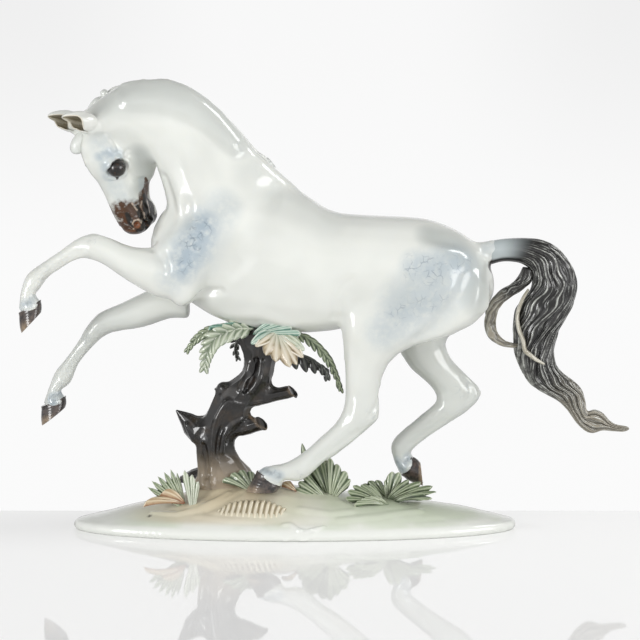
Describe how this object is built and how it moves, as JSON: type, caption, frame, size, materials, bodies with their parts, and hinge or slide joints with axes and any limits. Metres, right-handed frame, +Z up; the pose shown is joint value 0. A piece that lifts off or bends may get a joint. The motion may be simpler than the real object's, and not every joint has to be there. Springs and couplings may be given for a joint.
{
  "type": "horse figurine",
  "caption": "Glazed porcelain figurine of a cantering horse, carried by a tree stump with palm leaves on a low oval plinth that stands on a flat surface.",
  "frame": {"origin": "on the table, under the centre of the bounding box", "axes": "+Z up from the table, +X along the horse from nose to tail, +Y towards the horse's right side; the side seen in the picture looks along -Y"},
  "size_m": [0.3584, 0.0868, 0.268],
  "materials": {
    "porcelain_white": "glazed porcelain, warm white with blue-grey airbrushed mottling, high gloss",
    "ear_grey": "underglaze brown-grey on porcelain, gloss",
    "tail_brown": "underglaze black-brown running out to beige at the tip, gloss",
    "bark_black": "underglaze black-brown running out to beige at the foot, gloss",
    "leaf_green": "underglaze sage green with pale ribs, gloss",
    "shell_cream": "underglaze cream, gloss",
    "ground_green": "pale green-cream glaze with a white rim, gloss"
  },
  "bodies": {
    "root": {"horse_body": "porcelain_white", "head": "porcelain_white", "mane": "porcelain_white", "forelock": "porcelain_white", "left_foreleg": "porcelain_white", "right_foreleg": "porcelain_white", "left_hind_leg": "porcelain_white", "right_hind_leg": "porcelain_white", "left_ear": "ear_grey", "right_ear": "ear_grey", "tail": "tail_brown", "tail_side_lock": "tail_brown", "plinth": "ground_green", "tree_trunk": "bark_black", "left_spike_branch": "bark_black", "knot_stub": "bark_black", "upper_right_stub": "bark_black", "lower_right_stub": "bark_black", "back_root": "bark_black", "crown_frond_front_left": "leaf_green", "crown_frond_left": "leaf_green", "crown_frond_back_left": "leaf_green", "crown_fan_front": "leaf_green", "crown_frond_right": "leaf_green", "crown_frond_back_right": "leaf_green", "ground_fan_left": "leaf_green", "ground_leaf_left_broad": "leaf_green", "ground_leaf_left_low": "leaf_green", "ground_leaf_behind_hoof": "leaf_green", "ground_fan_middle": "leaf_green", "ground_leaf_middle_tall": "leaf_green", "ground_leaf_heel": "leaf_green", "ground_leaf_front_fern": "leaf_green", "ground_leaf_right_upright": "leaf_green", "ground_leaf_right_left": "leaf_green", "ground_leaf_right_long": "leaf_green", "ground_leaf_right_low": "leaf_green", "ground_shell_leaf": "shell_cream"}
  },
  "joints": []
}
